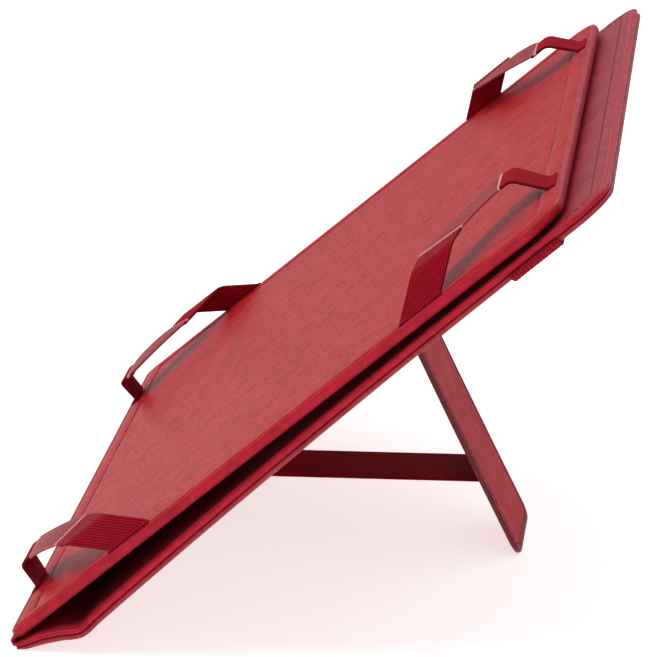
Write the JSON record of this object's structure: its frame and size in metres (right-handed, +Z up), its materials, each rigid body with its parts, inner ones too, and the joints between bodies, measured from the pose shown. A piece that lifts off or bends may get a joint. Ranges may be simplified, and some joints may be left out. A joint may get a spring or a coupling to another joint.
{
  "type": "tablet case",
  "caption": "Folio tablet case folded back on itself as a stand: strapped holder, soft spine, cover with fold-out leg, tie and closure band.",
  "frame": {"origin": "middle of the flat line under the spine that the case stands on, on the ground and on the case's middle plane", "axes": "+Z up from the ground, +Y along the spine, +X from the spine towards the leg's foot; the holder and tablet rise towards +X at 42.7 degrees to the ground"},
  "size_m": [0.1541, 0.262, 0.1354],
  "materials": {
    "leather_red": "fine grained faux leather, satin",
    "lining_red": "smooth faux leather lining, satin",
    "leather_rim": "rolled faux leather edge",
    "patch_red": "faux leather with pale cut edges",
    "elastic_red": "ribbed woven elastic",
    "thread_red": "twisted polyester thread",
    "strap_dark": "thin faux leather tie",
    "board_grey": "stiff fibreboard core",
    "foam": "thin foam pad"
  },
  "bodies": {
    "holder": {"holder_skin": "leather_red", "holder_board": "board_grey", "holder_pad": "foam", "holder_lining": "lining_red", "holder_rim": "leather_rim", "holder_thread": "thread_red", "elastic_front_left_end": "elastic_red", "elastic_front_left_side": "elastic_red", "elastic_front_right_end": "elastic_red", "elastic_front_right_side": "elastic_red", "elastic_back_left_end": "elastic_red", "elastic_back_left_side": "elastic_red", "elastic_back_right_end": "elastic_red", "elastic_back_right_side": "elastic_red"},
    "crease": {"crease_leather": "leather_rim"},
    "spine": {"spine_skin": "leather_red", "spine_board": "board_grey", "spine_lining": "lining_red"},
    "cover": {"cover_skin": "leather_red", "cover_board": "board_grey", "cover_pad": "foam", "cover_lining": "lining_red", "cover_rim": "leather_rim", "cover_thread": "thread_red", "closure_band": "elastic_red", "leg_anchor": "lining_red", "tie_anchor_cover": "strap_dark"},
    "leg": {"leg_inner_skin": "strap_dark", "leg_core": "board_grey", "leg_edge": "leather_rim", "leg_outer_skin": "leather_red", "tie_anchor_leg": "strap_dark"},
    "tie_upper": {"tie_upper": "strap_dark"},
    "tie_lower": {"tie_lower": "strap_dark"},
    "strap_front_left": {"patch_front_left": "patch_red"},
    "strap_front_right": {"patch_front_right": "patch_red"},
    "strap_back_left": {"patch_back_left": "patch_red"},
    "strap_back_right": {"patch_back_right": "patch_red"}
  },
  "joints": [
    {"name": "cover_turn", "type": "hinge", "parent": "holder", "child": "crease", "pos_m": [-0.00271, 0, 0.00185], "axis": [0, 1, 0], "range_deg": [0, 120.54]},
    {"name": "spine_turn", "type": "hinge", "parent": "crease", "child": "spine", "pos_m": [-0.002, 0, 0.00053], "axis": [0, 1, 0], "range_deg": [0, 120.64]},
    {"name": "cover_fold", "type": "hinge", "parent": "spine", "child": "cover", "pos_m": [0.01587, 0, 0.00634], "axis": [0, 1, 0], "range_deg": [0, 120.64]},
    {"name": "leg_fold", "type": "hinge", "parent": "cover", "child": "leg", "pos_m": [0.08534, 0, 0.07218], "axis": [0, 1, 0], "range_deg": [0, 73.71]},
    {"name": "tie_fold_cover", "type": "hinge", "parent": "cover", "child": "tie_upper", "pos_m": [0.02763, 0, 0.01538], "axis": [0, 1, 0], "range_deg": [-42.32, 0], "deforming": ["tie_upper"]},
    {"name": "tie_fold_middle", "type": "hinge", "parent": "tie_upper", "child": "tie_lower", "pos_m": [0.08155, 0, 0.01788], "axis": [0, 1, 0], "range_deg": [0, 180.1], "deforming": ["tie_lower"]},
    {"name": "strap_pull_front_left", "type": "slide", "parent": "holder", "child": "strap_front_left", "axis": [0.5197, 0.7071, 0.4795], "range_m": [-0.02, 0], "stiffness_N_per_m": 60, "deforming": ["elastic_front_left_end", "elastic_front_left_side"]},
    {"name": "strap_pull_front_right", "type": "slide", "parent": "holder", "child": "strap_front_right", "axis": [-0.5197, 0.7071, -0.4795], "range_m": [-0.02, 0], "stiffness_N_per_m": 60, "deforming": ["elastic_front_right_end", "elastic_front_right_side"]},
    {"name": "strap_pull_back_left", "type": "slide", "parent": "holder", "child": "strap_back_left", "axis": [0.5197, -0.7071, 0.4795], "range_m": [-0.02, 0], "stiffness_N_per_m": 60, "deforming": ["elastic_back_left_end", "elastic_back_left_side"]},
    {"name": "strap_pull_back_right", "type": "slide", "parent": "holder", "child": "strap_back_right", "axis": [-0.5197, -0.7071, -0.4795], "range_m": [-0.02, 0], "stiffness_N_per_m": 60, "deforming": ["elastic_back_right_end", "elastic_back_right_side"]}
  ],
  "couplings": [
    {"joint": "spine_turn", "follows": "cover_turn", "ratio": 1},
    {"joint": "cover_fold", "follows": "cover_turn", "ratio": 1},
    {"joint": "leg_fold", "follows": "cover_turn", "ratio": 0.61066},
    {"joint": "tie_fold_cover", "follows": "cover_turn", "ratio": -0.35027},
    {"joint": "tie_fold_middle", "follows": "cover_turn", "ratio": 1.4932}
  ]
}
